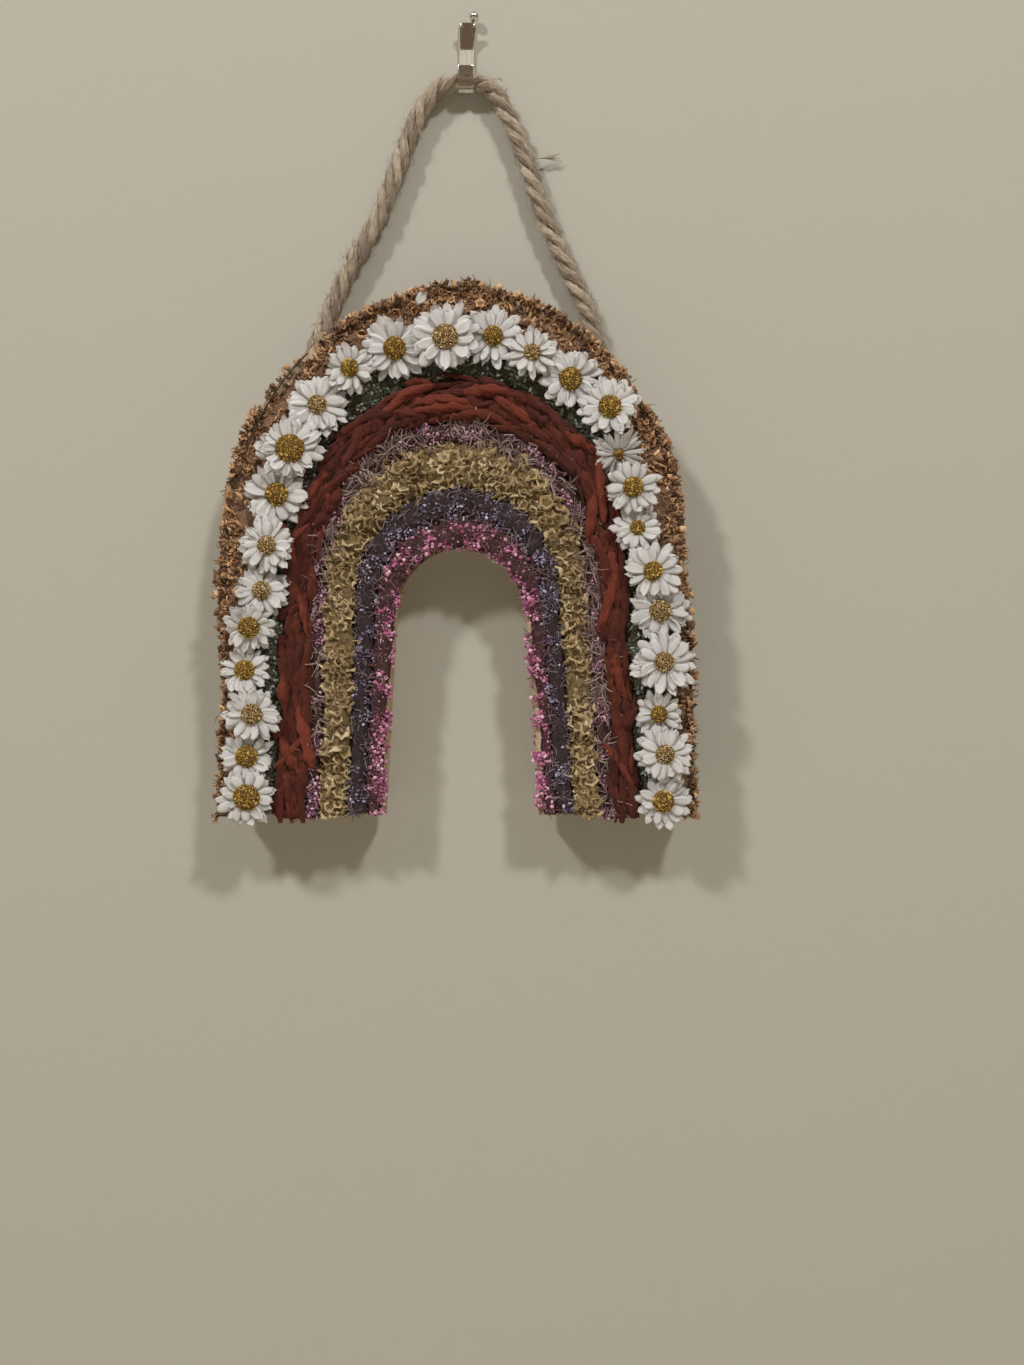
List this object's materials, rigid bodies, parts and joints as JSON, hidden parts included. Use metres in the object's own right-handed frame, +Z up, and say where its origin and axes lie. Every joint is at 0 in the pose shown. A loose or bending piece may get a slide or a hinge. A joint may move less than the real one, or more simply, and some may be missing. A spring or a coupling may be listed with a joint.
{
  "type": "dried flower arch wall hanging with rope and picture hook",
  "caption": "Arch-shaped wooden board covered with glued rows of dried flowers, hung by a jute rope loop from a small metal picture hook.",
  "frame": {"origin": "on the flat back of the hook's strip, near the strip's middle height, in the plane of the wall", "axes": "+Z up along the wall, +Y into the wall, so the flowers face -Y and +X is to the viewer's right"},
  "size_m": [0.2061, 0.0363, 0.3536],
  "materials": {
    "pale_wood": "bare sawn softwood",
    "pink_flowers": "dried pink florets on dark stems",
    "blue_flowers": "dried blue-violet florets",
    "cream_flowers": "dried yellow-cream papery florets",
    "mauve_flowers": "dried mauve sprigs and curled stems",
    "red_flowers": "soft brick-red tufts",
    "green_buds": "small grey-green buds",
    "brown_sprigs": "dried brown and apricot sprigs",
    "daisies": "dried white daisies with mustard eyes",
    "jute": "three-ply hairy twisted jute",
    "bright_steel": "nickel-plated steel strip",
    "nail_steel": "nickel-plated nail with a ball head"
  },
  "bodies": {
    "root": {"board": "pale_wood", "pink_florets": "pink_flowers", "blue_florets": "blue_flowers", "cream_florets": "cream_flowers", "mauve_sprigs": "mauve_flowers", "red_tufts": "red_flowers", "green_buds": "green_buds", "brown_sprigs": "brown_sprigs", "daisy_01": "daisies", "daisy_02": "daisies", "daisy_03": "daisies", "daisy_04": "daisies", "daisy_05": "daisies", "daisy_06": "daisies", "daisy_07": "daisies", "daisy_08": "daisies", "daisy_09": "daisies", "daisy_10": "daisies", "daisy_11": "daisies", "daisy_12": "daisies", "daisy_13": "daisies", "daisy_14": "daisies", "daisy_15": "daisies", "daisy_16": "daisies", "daisy_17": "daisies", "daisy_18": "daisies", "daisy_19": "daisies", "daisy_20": "daisies", "daisy_21": "daisies", "daisy_22": "daisies", "daisy_23": "daisies", "daisy_24": "daisies", "daisy_25": "daisies", "daisy_26": "daisies", "rope": "jute", "hook": "bright_steel", "nail": "nail_steel"}
  },
  "joints": []
}
